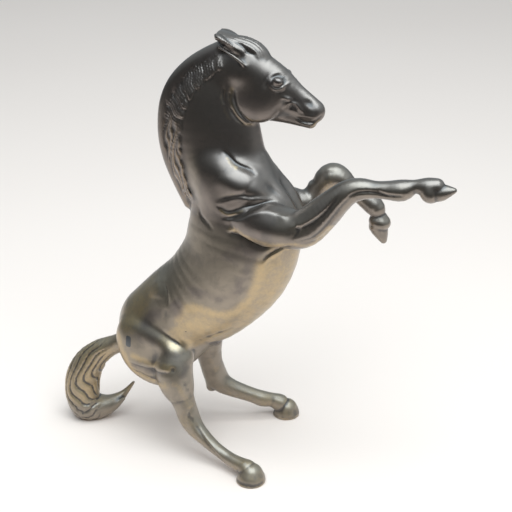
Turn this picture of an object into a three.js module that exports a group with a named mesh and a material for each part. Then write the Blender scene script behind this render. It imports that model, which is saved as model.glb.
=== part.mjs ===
// Rearing horse statuette, cast in one piece of brass.
// Millimetres, +Z up. The horse faces +X and its right flank faces -Y.
import * as THREE from 'three';
import { edgeTable, triTable } from 'three/addons/objects/MarchingCubes.js';

// Driving dimensions
const height = 148;          // floor to the tips of the ears
const gridStep = 0.8;        // spacing of the grid that the surface is found on
const triangleCount = 9600;  // triangles kept after thinning
const edgeInset = 0.06;      // nearest that a surface point comes to a grid node, as a share of a cell

// All stations below are written for a figure 148 mm tall.
const scale = height / 148;
const roomLow = [-76, -30, -2].map((value) => value * scale);    // corners of the space that is searched
const roomHigh = [69, 30, 153].map((value) => value * scale);
const tension = 0.5;         // of every curve

// Shapes: each has a box and a distance that is negative inside.

function splinePoints(rows, steps) {
  const centre = new THREE.CatmullRomCurve3(
    rows.map((row) => new THREE.Vector3(row[0], row[1], row[2])), false, 'catmullrom', tension);
  const section = new THREE.CatmullRomCurve3(
    rows.map((row) => new THREE.Vector3(row[3], row[4] ?? 1, 0)), false, 'catmullrom', tension);
  const count = (rows.length - 1) * steps;
  const points = [];
  for (let i = 0; i <= count; i += 1) {
    const p = centre.getPoint(i / count).multiplyScalar(scale);
    const s = section.getPoint(i / count);
    points.push({ x: p.x, y: p.y, z: p.z, radius: s.x * scale, flat: s.y });
  }
  return points;
}

function boxAround(points, grow = 0) {
  const lo = [Infinity, Infinity, Infinity];
  const hi = [-Infinity, -Infinity, -Infinity];
  for (const p of points) {
    const size = (p.radius ?? 0) + grow;
    [p.x, p.y, p.z].forEach((value, axis) => {
      lo[axis] = Math.min(lo[axis], value - size);
      hi[axis] = Math.max(hi[axis], value + size);
    });
  }
  return { lo, hi };
}

// A limb runs through stations [x, y, z, radius, width across Y as a share of the radius].
function limb(rows, steps = 4) {
  const points = splinePoints(rows, steps);
  const distance = (x, y, z) => {
    let nearest = Infinity;
    for (let i = 0; i + 1 < points.length; i += 1) {
      const a = points[i];
      const b = points[i + 1];
      const ux = b.x - a.x;
      const uy = b.y - a.y;
      const uz = b.z - a.z;
      const along = ((x - a.x) * ux + (y - a.y) * uy + (z - a.z) * uz) / (ux * ux + uy * uy + uz * uz);
      const t = Math.min(Math.max(along, 0), 1);
      const radius = a.radius + t * (b.radius - a.radius);
      const flat = a.flat + t * (b.flat - a.flat);
      const qx = x - a.x - t * ux;
      const qy = (y - a.y - t * uy) / flat;
      const qz = z - a.z - t * uz;
      const length = Math.hypot(qx, qy, qz);
      const slope = Math.hypot(qx, qy / flat, qz) + 1e-9;
      nearest = Math.min(nearest, (length - radius) * length / slope);
    }
    return nearest;
  };
  return { ...boxAround(points), distance };
}

// A muscle is an ellipsoid, its long axis tilted up from +X by the pitch and turned by the yaw, in degrees.
function muscle(centre, radii, pitch = 0, yaw = 0) {
  const turn = new THREE.Matrix4().makeRotationFromEuler(
    new THREE.Euler(0, -THREE.MathUtils.degToRad(pitch), THREE.MathUtils.degToRad(yaw), 'ZYX'));
  const m = turn.elements;
  const [cx, cy, cz] = centre.map((value) => value * scale);
  const [rx, ry, rz] = radii.map((value) => value * scale);
  const distance = (x, y, z) => {
    const dx = x - cx;
    const dy = y - cy;
    const dz = z - cz;
    const u = (dx * m[0] + dy * m[1] + dz * m[2]) / rx;
    const v = (dx * m[4] + dy * m[5] + dz * m[6]) / ry;
    const w = (dx * m[8] + dy * m[9] + dz * m[10]) / rz;
    const length = Math.hypot(u, v, w);
    const slope = Math.hypot(u / rx, v / ry, w / rz) + 1e-9;
    return length * (length - 1) / slope;
  };
  return { ...boxAround([{ x: cx, y: cy, z: cz, radius: Math.max(rx, ry, rz) }]), distance };
}

// The same shape on both sides of the middle plane.
function paired(shape) {
  const far = Math.max(Math.abs(shape.lo[1]), Math.abs(shape.hi[1]));
  return {
    lo: [shape.lo[0], -far, shape.lo[2]],
    hi: [shape.hi[0], far, shape.hi[2]],
    distance: (x, y, z) => shape.distance(x, Math.abs(y), z),
  };
}

// A shape cut off by a plane through a point, keeping the side that the normal points away from.
function trimmed(shape, point, normal) {
  const n = new THREE.Vector3(...normal).normalize();
  const offset = n.dot(new THREE.Vector3(...point)) * scale;
  return {
    ...shape,
    distance: (x, y, z) => Math.max(shape.distance(x, y, z), n.x * x + n.y * y + n.z * z - offset),
  };
}

// A stroke drawn in side view at [x, z] points. Depth below zero is a crease, above zero a ridge.
// It shows on flanks further than inner from the middle plane, on one side (-1 or 1) or both (0).
function stroke(rows, width, depth, inner, side = 0) {
  const stepsPerSpan = 4;
  const softEdge = 1.5;      // over which a stroke starts to show, beside its inner limit
  const endShare = 0.06;     // how little its ends are drawn in, as a share of a half wave
  const curve = new THREE.CatmullRomCurve3(
    rows.map((row) => new THREE.Vector3(row[0], 0, row[1])), false, 'catmullrom', tension);
  const points = curve.getPoints((rows.length - 1) * stepsPerSpan).map((p) => p.multiplyScalar(scale));
  const { lo, hi } = boxAround(points, 2.5 * width * scale);
  lo[1] = roomLow[1];
  hi[1] = roomHigh[1];
  const last = points.length - 1;
  const lift = (x, y, z) => {
    const out = side === 0 ? Math.abs(y) : y * side;
    const show = THREE.MathUtils.smoothstep(out, (inner - softEdge) * scale, (inner + softEdge) * scale);
    if (show === 0) return 0;
    let nearest = Infinity;
    let place = 0;
    for (let i = 0; i < last; i += 1) {
      const ux = points[i + 1].x - points[i].x;
      const uz = points[i + 1].z - points[i].z;
      const along = ((x - points[i].x) * ux + (z - points[i].z) * uz) / (ux * ux + uz * uz);
      const t = Math.min(Math.max(along, 0), 1);
      const gap = Math.hypot(x - points[i].x - t * ux, z - points[i].z - t * uz);
      if (gap < nearest) {
        nearest = gap;
        place = (i + t) / last;
      }
    }
    const fade = Math.sqrt(Math.sin(Math.PI * (endShare + (1 - 2 * endShare) * place)));
    return depth * scale * show * fade * Math.exp(-((nearest / (width * scale)) ** 2));
  };
  return { lo, hi, lift };
}

// The sculptor's list: shapes are blended in order, then strokes move the skin.
// The blend is how near the skin a shape starts to merge, so its box grows by that much.
const shapes = [];
const strokes = [];

function add(shape, blend = 3) {
  const reach = blend * scale;
  shapes.push({
    lo: shape.lo.map((value) => value - reach),
    hi: shape.hi.map((value) => value + reach),
    distance: shape.distance,
    blend: reach,
  });
}

const carve = (...rows) => strokes.push(stroke(...rows));

// Trunk, neck, and a low swelling between the thighs.
function body() {
  add(limb([
    [-6, 0, 88.6, 16, 0.7], [-5.2, 0, 82, 19, 0.7], [-8.4, 0, 70, 18.8, 0.74],
    [-17.1, 0, 58.2, 17.3, 0.77], [-27, 0, 49.8, 16.1, 0.78], [-34.8, 0, 41.3, 16.2, 0.8]]));
  add(limb([
    [-9, 0, 97, 15.4, 0.6], [-13.7, 0, 105, 16, 0.52], [-15.5, 0, 114, 15.7, 0.5],
    [-15.5, 0, 122, 14.1, 0.47], [-12, 0, 130, 11.3, 0.46], [-6, 0, 136, 8.5, 0.6]]), 5);
  add(limb([[-24, 0, 38.5, 5], [-19, 0, 39.2, 2.8], [-15.6, 0, 38.6, 1.8]]), 2);
}

// The breast has a ridge on each side of its middle. The upper arm muscles lie over the ribs.
function shoulders() {
  add(paired(muscle([2.5, 5, 90.5], [9, 6.5, 8], 15)), 3);
  add(paired(limb([
    [-0.2, 1.5, 106.8, 2.3], [2.8, 2.4, 101.3, 2.5], [6.2, 2.8, 97.5, 2.6], [9.4, 3, 93.4, 2.8],
    [11.5, 3.2, 89, 3]])), 2);
  add(paired(muscle([-7, 7.2, 97.5], [14, 4.6, 9], -42)), 7);
  add(paired(muscle([-3.2, 6.4, 102.3], [7.5, 3.2, 4.2], -40)), 2.5);
  add(muscle([6.2, -11.6, 90.2], [11.6, 5.2, 6.3], 6), 1.5);
  add(muscle([4.2, 10.6, 88.8], [10.5, 5, 5.3], 5), 1.5);
  carve([[-9.4, 111.4], [-7.6, 109.6], [-5.9, 108.1], [-3.5, 106.9], [-1, 105.8], [0.5, 104.8]], 1, -0.9, 4);
  carve([[-0.5, 106.1], [1.9, 104.7], [4.6, 102.5], [8, 99.5], [10.6, 97.4], [12.7, 95.1]], 1.2, 0.5, 3);
  carve([[-9.5, 96.1], [-6.6, 97.5], [-2.6, 98.6], [0.1, 98.2], [2.4, 98.2], [5.1, 97.6]], 1, -0.5, 7);
  carve([[-9.6, 93.6], [-6.9, 92.6], [-4.1, 93.5], [-1.8, 94.6], [1.4, 95.4], [4.1, 96.1]], 1, -0.6, 7);
  carve([[-6.5, 90.8], [-2, 92.5], [0.8, 94.5], [3.9, 96], [7.1, 96.6], [11, 96.1]], 1.2, -1, 8);
  carve([[-5.2, 86.3], [-1.3, 85.7], [1.2, 84.3], [3.6, 82.8], [6.6, 82.9], [11, 84.4]], 1.1, -1, 8);
  carve([[5, 76.9], [6.4, 78.6], [8.5, 79.9], [11.5, 81.3]], 1, -0.8, 5);
  carve([[-18, 91], [-17, 89.1], [-14.8, 87.7], [-12.7, 86.2]], 1, -0.6, 7);
}

// Skull and cheeks, lower jaw, brows and eyes, then the crown, the ears laid back, and the forelock.
function head() {
  add(limb([
    [-3, 0, 136.3, 7.4, 0.8], [3.1, 0, 131.5, 8.1, 0.68], [9.6, 0, 128.2, 6.1, 0.56],
    [14.4, 0, 126.2, 4.7, 0.64], [17.2, 0, 125.1, 3.8, 0.85]]), 3);
  add(paired(muscle([0, 3.5, 127.2], [7, 2.7, 6.8])), 3);
  add(limb([
    [2, 0, 124.6, 4, 0.9], [8.5, 0, 123, 2.7, 0.9], [13.8, 0, 121.9, 2.2, 1],
    [16.4, 0, 121.4, 2, 1.1]]), 1.5);
  add(paired(muscle([6.1, 3.9, 134], [3.1, 1.6, 1.7], -25)), 1);
  add(paired(muscle([7.1, 4.6, 135], [1.7, 1.3, 1.4], -20)), 0.3);
  add(limb([[-13, 0, 147, 1.2, 2.6], [-9.5, 0, 145.2, 2, 2.1], [-5, 0, 142.7, 2.7, 1.6]]), 1.2);
  add(paired(limb([
    [-13.5, 3, 147.4, 0.6, 0.9], [-12, 3.9, 146.2, 1.4, 0.95], [-9.6, 4.7, 144, 2], [-7, 4.9, 141.8, 2.4],
    [-4.6, 4.7, 139.6, 2.3]])), 0.8);
  add(muscle([-3.3, 0, 143.3], [6.4, 3.7, 2.9], -21), 2);
  carve([[13.4, 123.2], [15.5, 122.4], [18, 122.8], [20.5, 124.4]], 0.8, -0.7, 0.4);
  carve([[9.5, 126.6], [11.4, 127.2], [13.4, 125.8]], 0.9, -0.5, 1.5);
  carve([[16.2, 127.9], [18.2, 127.7]], 0.9, -0.7, 1.5);
  carve([[-12.2, 145.4], [-9.2, 142.8], [-7.1, 141], [-4.6, 138.8]], 1.2, -1, 4.6);
  carve([
    [-6.8, 130.6], [-6.8, 128.6], [-6.3, 126.4], [-5.4, 124.5], [-4.2, 122.9], [-2.6, 121.3], [-0.6, 120.6],
    [1.8, 121], [4.5, 122.2]], 0.9, -0.6, 2.5);
}

// The mane: a thick ridge, and locks that leave its top and sweep down each side of the neck.
function mane() {
  const crest = [
    [-11.5, 143], [-17.5, 139.8], [-23, 135.9], [-27.9, 130.6], [-31, 124.3], [-32.2, 117.3],
    [-32, 110], [-30.3, 103], [-27.3, 96], [-24, 89.5]];
  const ridgeRadius = 2.6;
  const lockCount = 12;
  const lockRun = 0.13;      // how far down the crest a lock sweeps, as a share of the crest
  const lockReach = 6.5;     // from the crest in over the neck, less further down
  const lockRadius = 1.7;
  const lockSpread = 4.4;    // that a lock moves out sideways over the neck
  const lockWave = 0.8;
  add(limb(crest.map(([x, z]) => [x, 0, z, ridgeRadius])), 2);
  const line = new THREE.CatmullRomCurve3(
    crest.map(([x, z]) => new THREE.Vector3(x, 0, z)), false, 'catmullrom', tension);
  for (let i = 0; i < lockCount; i += 1) {
    const start = (i + 0.2) / (lockCount + 0.8);
    const length = lockReach - 2 * start - (i === 0 ? 1.5 : 0);
    const rows = [0, 0.3, 0.6, 0.85, 1].map((t) => {
      const s = Math.min(start + lockRun * t, 1);
      const p = line.getPoint(s);
      const along = line.getTangent(s);
      const inward = 0.5 + length * t + lockWave * Math.sin(2 * Math.PI * t + i);
      const side = 1.6 + lockSpread * Math.sqrt(t) * (1 - 0.2 * start);
      const radius = lockRadius * Math.sqrt(1 - 0.9 * t * t);
      return [p.x - along.z * inward, side, p.z + along.x * inward, radius];
    });
    add(paired(limb(rows, 3)), 0.6);
  }
}

// The right foreleg reaches forward. The left one is bent, with its hoof hanging.
function forelegs() {
  add(limb([
    [7, -10.5, 89, 6.5], [13.5, -12.5, 89.6, 6.2], [19.1, -13.5, 91.4, 6], [25.1, -14, 97.5, 5.3],
    [28.9, -14, 101.8, 4.5], [32.4, -14, 105.1, 3.9], [36.3, -14, 106.8, 3.4], [41, -14, 107.2, 2.7],
    [45, -14, 107.5, 2.9], [49.2, -14, 108, 3.3], [53, -14, 109.7, 2.1], [57, -14, 110, 2.9],
    [59.6, -14, 110.6, 2.5]]), 2);
  add(muscle([57.9, -14, 108.4], [3.2, 3.5, 3.3], 30), 1);
  const rightHoof = limb([[58.4, -14, 108.4, 2.9], [61.5, -14, 108.9, 2.5], [64.8, -14, 109.8, 1]]);
  add(trimmed(rightHoof, [61.1, -14, 105.7], [0.64, 0, -0.77]), 0.3);
  add(limb([
    [5.5, 10, 86, 5.5], [10.8, 12.5, 86.8, 4.5], [15.7, 14.5, 92, 4.3], [19.3, 15, 97.2, 4.8],
    [22.3, 15, 97.6, 4.1], [27, 15, 94.4, 2.8], [34, 15, 89.6, 3.3], [35.9, 15, 86.6, 2.2],
    [36.4, 15, 84.6, 3]]), 2);
  add(muscle([36.4, 15, 84], [3.7, 3.5, 2.9], -12), 0.5);
  const leftHoof = limb([[36, 15, 82.4, 3.2], [37, 15, 80, 2.3], [37.9, 15, 77.6, 1.2]]);
  add(trimmed(leftHoof, [33.4, 15, 80.4], [-0.76, 0, -0.65]), 0.3);
  carve([[16.3, 92.8], [19.6, 94.4], [23.5, 97.3], [26.8, 100.6], [29.4, 104.4]], 1, -0.5, 13, -1);
  carve([
    [18.6, 89.5], [22.5, 91.2], [25.8, 94.6], [28.5, 98.5], [31.1, 102.3], [33.8, 105.6]], 1, -0.5, 13, -1);
  carve([[42.4, 107.4], [45.6, 106.8], [49.9, 107.2]], 0.9, -0.5, 14, -1);
}

// Both hind legs stand astride, the right one a little steeper above the hock.
function hindlegs() {
  add(paired(muscle([-37.1, 7.8, 36.2], [13.5, 7, 10.6], -42)), 3.5);
  add(paired(muscle([-31.5, 10.4, 40.6], [11.5, 4, 4.8], -26)), 3);
  add(paired(muscle([-36.2, 9.6, 30.9], [10.4, 4.8, 6.3], -26)), 3);
  add(paired(limb([
    [-39, 11.3, 44, 1.6], [-35.5, 12, 43.2, 2.4], [-31.5, 12.4, 41.8, 2.7], [-27.8, 12.8, 39.8, 2.7],
    [-24, 13, 37, 2.2]])), 0.9);
  add(limb([
    [-27.3, -10, 37, 6], [-26.9, -12.4, 32, 6.6, 0.9], [-25.4, -13.8, 27.4, 6, 0.85],
    [-23.8, -14, 23.2, 4.4, 0.9], [-22.2, -14.3, 19.3, 3.8], [-20.9, -14.5, 15.6, 3.7],
    [-18.6, -15.2, 12.3, 3.2], [-15.2, -16.2, 9.7, 2.6], [-10.8, -17.4, 7.1, 2.2], [-5.9, -18.7, 5.1, 2.2],
    [-2.6, -20, 4.5, 2.4], [1, -21.2, 4.2, 2.7], [2.4, -21.7, 3.8, 3.2]]), 2);
  add(limb([
    [-25.5, 10, 37, 6], [-24, 11.6, 32, 5.8], [-23.4, 12.6, 27.3, 4.7], [-22.6, 13.3, 21.6, 4.2],
    [-21.4, 14, 16.8, 4.2], [-19.2, 14.3, 13.6, 3.7], [-16.1, 15, 11.7, 3.2], [-12.7, 16, 10.2, 2.9],
    [-8.5, 17.3, 8.5, 2.7], [-5, 18.5, 7, 2.9], [-2.2, 20, 6.2, 2.6], [0, 21, 5.2, 3],
    [0.8, 21.3, 4.7, 3.2]]), 2);
  add(limb([[-22.2, 14, 14.8, 3], [-22.9, 14, 11.6, 2]]), 1.5);
  add(limb([[4.2, -22.4, 2.3, 4], [4.1, -22.6, 0, 5.1]]), 0.5);
  add(limb([[3.2, 21.9, 2.3, 3.9], [3, 22, 0, 4.9]]), 0.5);
  carve([[-30.3, 62.3], [-29.2, 60.6], [-28.6, 58.2], [-28.8, 55.8]], 1.1, -0.6, 8);
  carve([[-28.8, 56], [-30.4, 52.4], [-31.4, 49.5]], 2, -0.4, 8);
  carve([[-29, 46], [-25.5, 43.2], [-22.6, 40.8], [-20.6, 38.8]], 1.6, -0.6, 7);
  carve([[-41, 33.2], [-37.9, 33], [-34.2, 32.6], [-29.6, 33.6], [-26.6, 34.2]], 1.2, -0.6, 8);
  carve([[-21.6, 31], [-20.6, 27], [-19.5, 22.8]], 1.1, -0.5, 14);
}

// The tail: locks wound a little way round a curve that sweeps back, down and forward again.
function tail() {
  const line = splinePoints([
    [-47, 0, 34, 4.5], [-52.8, 0, 31.3, 3.4], [-56.6, 0, 29.2, 3.7], [-60.8, 0, 26, 4.5],
    [-64.4, -0.3, 21.4, 5.5], [-66.8, -0.8, 15.6, 6.1], [-67, -1.4, 9.4, 6.1], [-65.4, -1.8, 5.2, 5.6],
    [-61.6, -0.4, 4.2, 4.6], [-58.2, 1, 4.9, 3.4], [-55.2, 3, 6.6, 2.2], [-52.8, 4.5, 9, 1.2],
    [-50, 5.8, 12.8, 0.6]], 1).map((p) => ({
    x: p.x / scale, y: p.y / scale, z: p.z / scale, radius: p.radius / scale }));
  const coreShare = 0.78;    // of the tail's radius that is solid
  const lockCount = 11;
  const windings = 0.6;      // turns that a lock makes on its way down
  const lockShare = 0.28;    // a lock's radius, and the ring it lies on, as shares of the tail's radius
  const ringShare = 0.74;
  add(limb(line.map((p) => [p.x, p.y, p.z, coreShare * p.radius])), 2);
  for (let i = 0; i < lockCount; i += 1) {
    const rows = line.slice(1, -1).map((p, n) => {
      const share = n / (line.length - 3);
      const next = line[n + 2];
      const tilt = Math.atan2(next.z - line[n].z, next.x - line[n].x);
      const angle = 2 * Math.PI * (i / lockCount + windings * share) + 0.3 * Math.sin(7 * share + i);
      const out = ringShare * p.radius * Math.cos(angle);
      return [
        p.x - Math.sin(tilt) * out, p.y + ringShare * p.radius * Math.sin(angle),
        p.z + Math.cos(tilt) * out, lockShare * p.radius];
    });
    add(limb(rows, 3), 0.6);
  }
  add(limb([[-58, 0.2, 4, 2.4], [-55, 1.2, 5.6, 1.5], [-52.2, 1.8, 7.8, 0.6]]), 0.8);
  add(muscle([-64, -1.4, 2.8], [5, 3.6, 3.4]), 1);
}

// Surface: the field is sampled on a grid and cut into triangles cube by cube.
const farOutside = 10 * scale;
const nearlyZero = 1e-6;

function makeGrid() {
  const counts = roomLow.map((value, axis) => Math.ceil((roomHigh[axis] - value) / gridStep) + 1);
  const lo = [...roomLow];
  lo[2] = (Math.floor(lo[2] / gridStep) + 0.5) * gridStep;   // the floor lies midway between two layers
  return { lo, counts, values: new Float64Array(counts[0] * counts[1] * counts[2]).fill(farOutside) };
}

function visit(grid, box, change) {
  const place = (value, axis) => (value - grid.lo[axis]) / gridStep;
  const from = box.lo.map((value, axis) => Math.max(0, Math.ceil(place(value, axis))));
  const to = box.hi.map((value, axis) => Math.min(grid.counts[axis] - 1, Math.floor(place(value, axis))));
  for (let k = from[2]; k <= to[2]; k += 1) {
    const z = grid.lo[2] + k * gridStep;
    for (let j = from[1]; j <= to[1]; j += 1) {
      const y = grid.lo[1] + j * gridStep;
      const start = (k * grid.counts[1] + j) * grid.counts[0];
      for (let i = from[0]; i <= to[0]; i += 1) {
        grid.values[start + i] = change(grid.values[start + i], grid.lo[0] + i * gridStep, y, z);
      }
    }
  }
}

// Two shapes as one, with a fillet where they meet.
function blended(a, b, blend) {
  const near = Math.max(blend - Math.abs(a - b), 0) / blend;
  return Math.min(a, b) - near * near * near * blend / 6;
}

function sampleField(grid) {
  for (const shape of shapes) {
    visit(grid, shape, (value, x, y, z) => blended(value, shape.distance(x, y, z), shape.blend));
  }
  for (const mark of strokes) {
    visit(grid, mark, (value, x, y, z) => value - mark.lift(x, y, z));
  }
  const everywhere = { lo: roomLow, hi: roomHigh.map((value) => value + 2 * gridStep) };
  visit(grid, everywhere, (value, x, y, z) => Math.max(value, -z) || nearlyZero);
}

// Corners and edges of a cube, numbered as in the edge and triangle tables.
const corners = [[0, 0, 0], [1, 0, 0], [1, 1, 0], [0, 1, 0], [0, 0, 1], [1, 0, 1], [1, 1, 1], [0, 1, 1]];
const cubeEdges = [
  [0, 1], [1, 2], [2, 3], [3, 0], [4, 5], [5, 6], [6, 7], [7, 4], [0, 4], [1, 5], [2, 6], [3, 7]];

function findSurface(grid) {
  const [nx, ny, nz] = grid.counts;
  const node = (i, j, k) => (k * ny + j) * nx + i;
  const known = new Map();
  const positions = [];
  const triangles = [];
  const pointOnEdge = (i, j, k, edge) => {
    const ends = cubeEdges[edge].map(
      (corner) => corners[corner].map((value, axis) => value + [i, j, k][axis]));
    const [a, b] = ends.map((end) => node(...end));
    const key = Math.min(a, b) * 3 + ends[0].findIndex((value, axis) => value !== ends[1][axis]);
    if (!known.has(key)) {
      const exact = grid.values[a] / (grid.values[a] - grid.values[b]);
      const t = Math.min(Math.max(exact, edgeInset), 1 - edgeInset);
      known.set(key, positions.length / 3);
      for (let axis = 0; axis < 3; axis += 1) {
        positions.push(grid.lo[axis] + (ends[0][axis] + t * (ends[1][axis] - ends[0][axis])) * gridStep);
      }
    }
    return known.get(key);
  };
  const hops = corners.map((corner) => node(...corner));
  for (let k = 0; k < nz - 1; k += 1) {
    for (let j = 0; j < ny - 1; j += 1) {
      for (let i = 0; i < nx - 1; i += 1) {
        const start = node(i, j, k);
        let mask = 0;
        for (let bit = 0; bit < 8; bit += 1) {
          if (grid.values[start + hops[bit]] < 0) mask |= 1 << bit;
        }
        if (edgeTable[mask] === 0) continue;
        for (let row = mask * 16; triTable[row] !== -1; row += 3) {
          const points = [0, 2, 1].map((n) => pointOnEdge(i, j, k, triTable[row + n]));
          triangles.push(...points);
        }
      }
    }
  }
  return { positions, triangles };
}

// Thinning: the edge whose removal moves the surface least goes first (quadric error).
const shortEdgeFavour = 1e-4;   // added cost for each square millimetre of edge length
const flatCorner = 1e-3;        // below it, the planes at a point don't settle its place
const leastTurn = 0.3;          // least cosine between a triangle's old and new direction
const leastShape = 0.04;        // least area of a triangle, as a share of its longest side squared

function pointOf(p, v) {
  return [p[3 * v], p[3 * v + 1], p[3 * v + 2]];
}

function planeQuadric(p, a, b, c) {
  const [ax, ay, az, bx, by, bz, cx, cy, cz] = [a, b, c].flatMap((v) => pointOf(p, v));
  const nx = (by - ay) * (cz - az) - (bz - az) * (cy - ay);
  const ny = (bz - az) * (cx - ax) - (bx - ax) * (cz - az);
  const nz = (bx - ax) * (cy - ay) - (by - ay) * (cx - ax);
  const area = Math.hypot(nx, ny, nz) + 1e-12;
  const d = -(nx * ax + ny * ay + nz * az);
  return [nx * nx, nx * ny, nx * nz, nx * d, ny * ny, ny * nz, ny * d, nz * nz, nz * d, d * d]
    .map((value) => value / area);
}

function quadricError(q, x, y, z) {
  return q[0] * x * x + 2 * q[1] * x * y + 2 * q[2] * x * z + 2 * q[3] * x + q[4] * y * y
    + 2 * q[5] * y * z + 2 * q[6] * y + q[7] * z * z + 2 * q[8] * z + q[9];
}

function bestPoint(q, p, a, b) {
  const [pa, pb] = [pointOf(p, a), pointOf(p, b)];
  const middle = pa.map((value, axis) => (value + pb[axis]) / 2);
  const m = new THREE.Matrix3().set(q[0], q[1], q[2], q[1], q[4], q[5], q[2], q[5], q[7]);
  const size = Math.cbrt(Math.abs(m.determinant()));
  const span = Math.hypot(...pa.map((value, axis) => value - pb[axis]));
  const choices = [middle, pa, pb];
  if (size > flatCorner) {
    const v = new THREE.Vector3(-q[3], -q[6], -q[8]).applyMatrix3(m.invert());
    if (v.distanceTo(new THREE.Vector3(...middle)) < 1.5 * span) choices.push([v.x, v.y, v.z]);
  }
  let best = null;
  for (const choice of choices) {
    const cost = quadricError(q, ...choice) + shortEdgeFavour * span * span;
    if (best === null || cost < best.cost) best = { cost, point: choice };
  }
  return best;
}

class CostHeap {
  constructor() {
    this.items = [];
  }

  push(item) {
    const items = this.items;
    let at = items.push(item) - 1;
    while (at > 0) {
      const parent = (at - 1) >> 1;
      if (items[parent].cost <= items[at].cost) break;
      [items[parent], items[at]] = [items[at], items[parent]];
      at = parent;
    }
  }

  pop() {
    const items = this.items;
    const top = items[0];
    const last = items.pop();
    if (items.length === 0) return top;
    items[0] = last;
    let at = 0;
    for (;;) {
      let least = at;
      for (const child of [2 * at + 1, 2 * at + 2]) {
        if (child < items.length && items[child].cost < items[least].cost) least = child;
      }
      if (least === at) return top;
      [items[least], items[at]] = [items[at], items[least]];
      at = least;
    }
  }
}

function thin({ positions, triangles }, target) {
  const p = Float64Array.from(positions);
  const tri = Int32Array.from(triangles);
  const around = Array.from({ length: p.length / 3 }, () => new Set());
  const quadrics = Array.from({ length: p.length / 3 }, () => new Float64Array(10));
  const stamp = new Int32Array(p.length / 3);
  let alive = tri.length / 3;
  for (let t = 0; t < alive; t += 1) {
    const q = planeQuadric(p, tri[3 * t], tri[3 * t + 1], tri[3 * t + 2]);
    for (let n = 0; n < 3; n += 1) {
      around[tri[3 * t + n]].add(t);
      q.forEach((value, row) => { quadrics[tri[3 * t + n]][row] += value; });
    }
  }
  const neighbours = (v) => {
    const found = new Set();
    for (const t of around[v]) [0, 1, 2].forEach((n) => found.add(tri[3 * t + n]));
    found.delete(v);
    return found;
  };
  const heap = new CostHeap();
  const offer = (a, b) => {
    const q = quadrics[a].map((value, row) => value + quadrics[b][row]);
    heap.push({ ...bestPoint(q, p, a, b), a, b, q, stampA: stamp[a], stampB: stamp[b] });
  };
  const flips = (v, other, point) => {
    for (const t of around[v]) {
      const ids = [tri[3 * t], tri[3 * t + 1], tri[3 * t + 2]];
      if (ids.includes(other)) continue;
      const before = ids.map((id) => new THREE.Vector3(...pointOf(p, id)));
      const after = ids.map((id, n) => (id === v ? new THREE.Vector3(...point) : before[n]));
      const [n0, n1] = [before, after].map(([a, b, c]) => b.clone().sub(a).cross(c.clone().sub(a)));
      const longest = Math.max(...[0, 1, 2].map((n) => after[n].distanceTo(after[(n + 1) % 3])));
      if (n0.dot(n1) < leastTurn * n0.length() * n1.length()) return true;
      if (n1.length() < leastShape * longest * longest) return true;
    }
    return false;
  };
  for (let v = 0; v < around.length; v += 1) {
    for (const other of neighbours(v)) if (v < other) offer(v, other);
  }
  while (alive > target && heap.items.length > 0) {
    const { a, b, q, point, stampA, stampB } = heap.pop();
    if (stamp[a] !== stampA || stamp[b] !== stampB) continue;
    const nextToB = neighbours(b);
    const shared = [...neighbours(a)].filter((v) => nextToB.has(v));
    if (shared.length !== 2 || flips(a, b, point) || flips(b, a, point)) continue;
    for (const t of [...around[b]]) {
      const ids = [tri[3 * t], tri[3 * t + 1], tri[3 * t + 2]];
      if (ids.includes(a)) {
        ids.forEach((id) => around[id].delete(t));
        tri[3 * t] = -1;
        alive -= 1;
      } else {
        tri[3 * t + ids.indexOf(b)] = a;
        around[a].add(t);
      }
    }
    around[b].clear();
    p.set(point, 3 * a);
    quadrics[a] = q;
    stamp[a] += 1;
    stamp[b] = -1;
    for (const v of neighbours(a)) offer(a, v);
  }
  return compact(p, tri);
}

// Points that thinning left a hair above the floor are set on it, so that the soles are flat.
function compact(p, tri) {
  const hair = 0.03;
  for (let z = 2; z < p.length; z += 3) if (Math.abs(p[z]) < hair) p[z] = 0;
  const renumbered = new Map();
  const positions = [];
  const index = [];
  for (let t = 0; t < tri.length; t += 3) {
    if (tri[t] < 0) continue;
    for (let n = 0; n < 3; n += 1) {
      const v = tri[t + n];
      if (!renumbered.has(v)) {
        renumbered.set(v, positions.length / 3);
        positions.push(...pointOf(p, v));
      }
      index.push(renumbered.get(v));
    }
  }
  return { positions, index };
}

// The origin goes to the middle of the underside of the box around the figure.
function toGeometry({ positions, index }) {
  const geometry = new THREE.BufferGeometry();
  geometry.setAttribute('position', new THREE.Float32BufferAttribute(positions, 3));
  geometry.setIndex(index);
  geometry.computeBoundingBox();
  const { min, max } = geometry.boundingBox;
  geometry.translate(-(min.x + max.x) / 2, -(min.y + max.y) / 2, -min.z);
  geometry.computeVertexNormals();
  return geometry;
}

body();
shoulders();
head();
mane();
forelegs();
hindlegs();
tail();

const grid = makeGrid();
sampleField(grid);
const brass = new THREE.MeshStandardMaterial({ color: 0x5a5042, roughness: 0.38, metalness: 0.85 });
const horse = new THREE.Mesh(toGeometry(thin(findSurface(grid), triangleCount)), brass);
horse.name = 'horse';

const statuette = new THREE.Group();
statuette.add(horse);
export default statuette;
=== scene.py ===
"""Rearing horse statuette in aged brass: its fine surface and finish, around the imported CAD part."""

import math

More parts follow.
